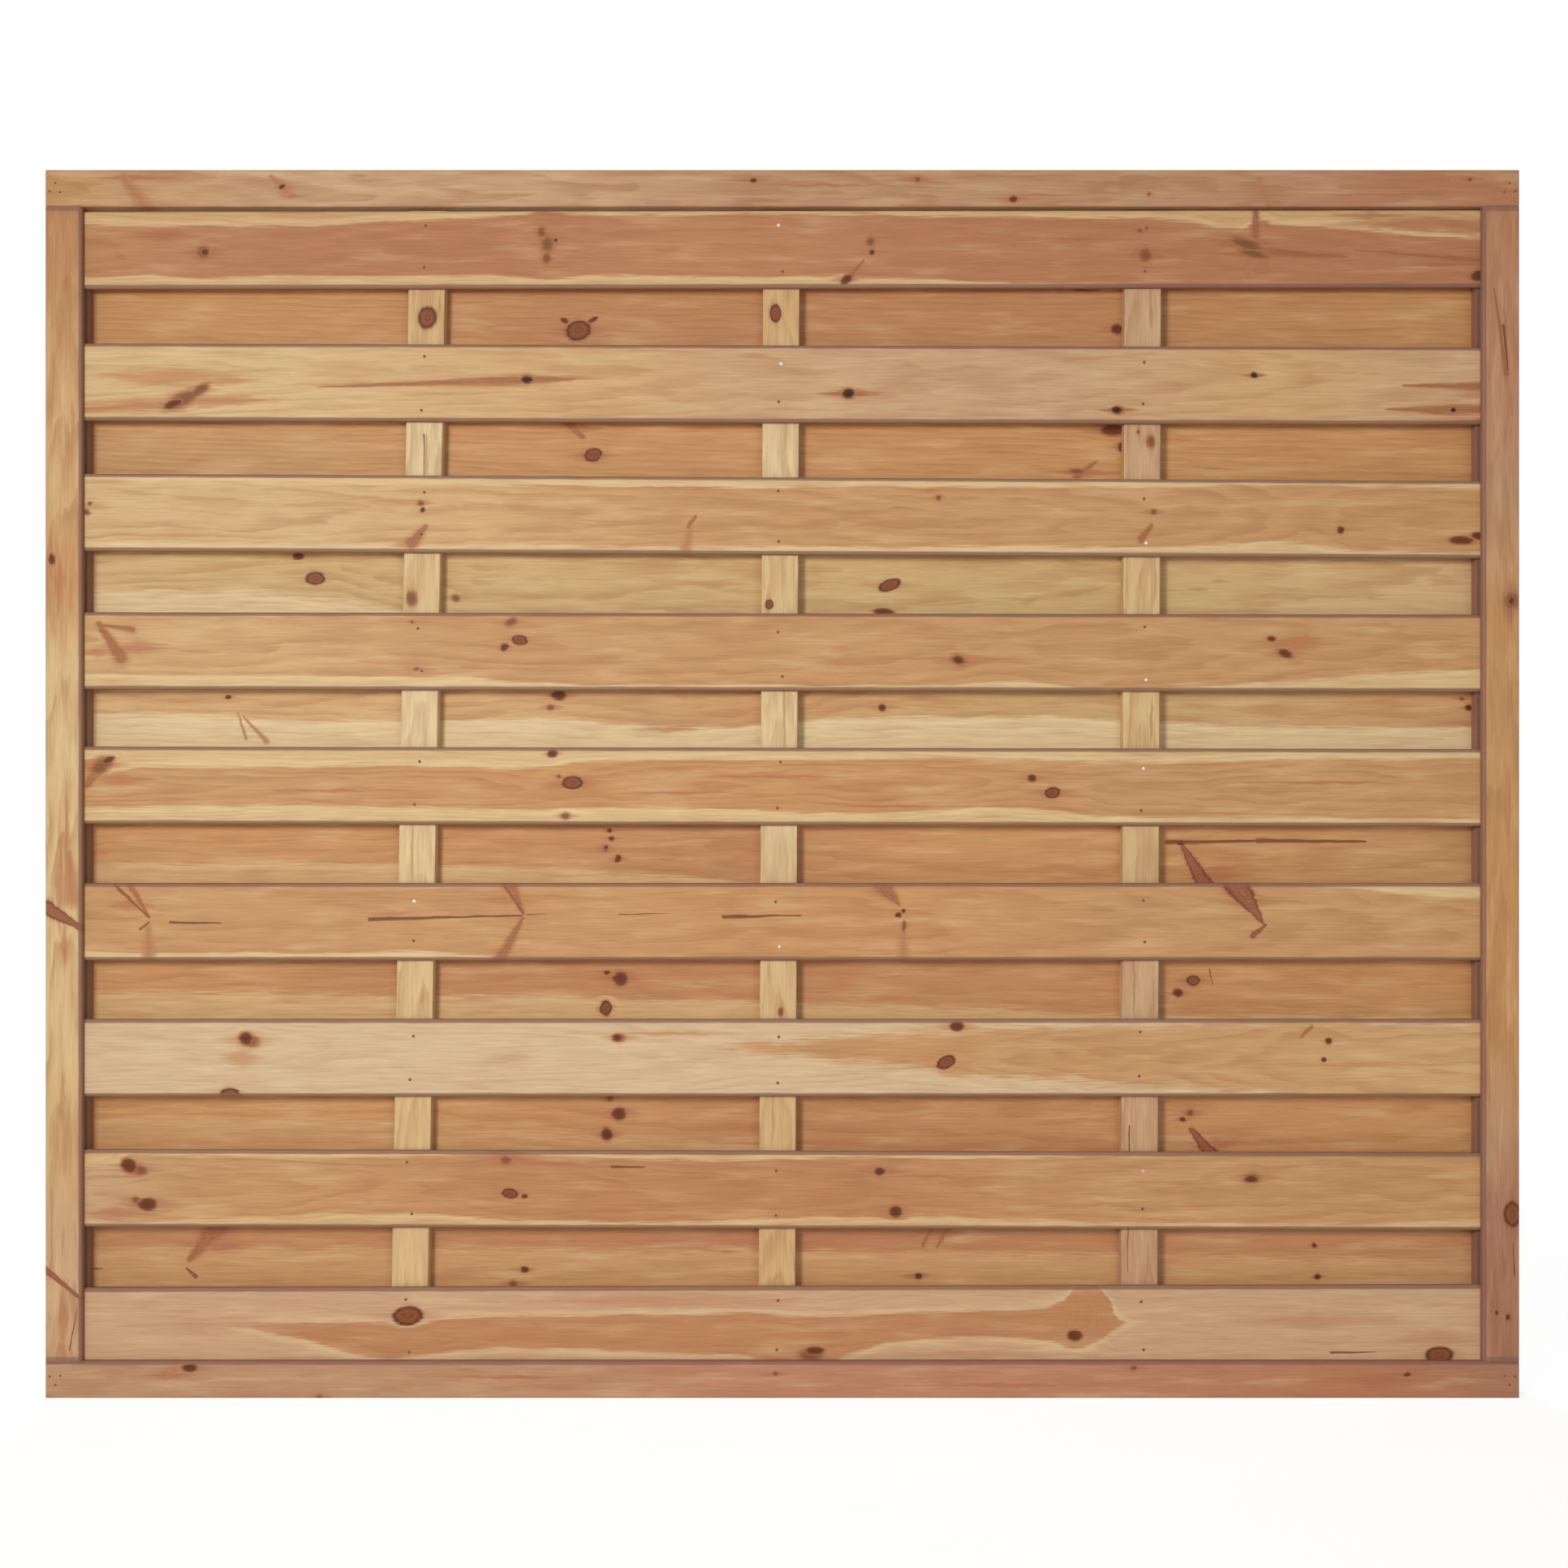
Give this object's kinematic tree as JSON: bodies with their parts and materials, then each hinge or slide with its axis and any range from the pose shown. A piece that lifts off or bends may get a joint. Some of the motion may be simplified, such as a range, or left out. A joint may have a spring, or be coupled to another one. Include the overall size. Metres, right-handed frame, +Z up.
{
  "type": "slatted timber fence panel",
  "caption": "Double-sided horizontal slatted timber fence panel: staggered slats in grooved stiles, between full-width rails, over upright battens.",
  "frame": {"origin": "centre of the left stile's outer face, at half the panel's height and half its depth", "axes": "+X along the panel from the left stile to the right stile, -Y out of the front face, +Z up"},
  "size_m": [1.8, 0.045, 1.5],
  "materials": {
    "rail": "planed, brown pressure-treated pine",
    "stile": "planed, brown pressure-treated pine",
    "batten": "planed pale pine",
    "front_slat": "planed, brown pressure-treated pine",
    "back_slat": "planed, brown pressure-treated pine",
    "nail": "small stainless nail heads"
  },
  "bodies": {
    "root": {"top_rail": "rail", "bottom_rail": "rail", "left_stile": "stile", "right_stile": "stile", "left_batten": "batten", "middle_batten": "batten", "right_batten": "batten", "front_slat_1": "front_slat", "front_slat_2": "front_slat", "front_slat_3": "front_slat", "front_slat_4": "front_slat", "front_slat_5": "front_slat", "front_slat_6": "front_slat", "front_slat_7": "front_slat", "front_slat_8": "front_slat", "front_slat_9": "front_slat", "back_slat_1": "back_slat", "back_slat_2": "back_slat", "back_slat_3": "back_slat", "back_slat_4": "back_slat", "back_slat_5": "back_slat", "back_slat_6": "back_slat", "back_slat_7": "back_slat", "back_slat_8": "back_slat"}
  },
  "joints": []
}
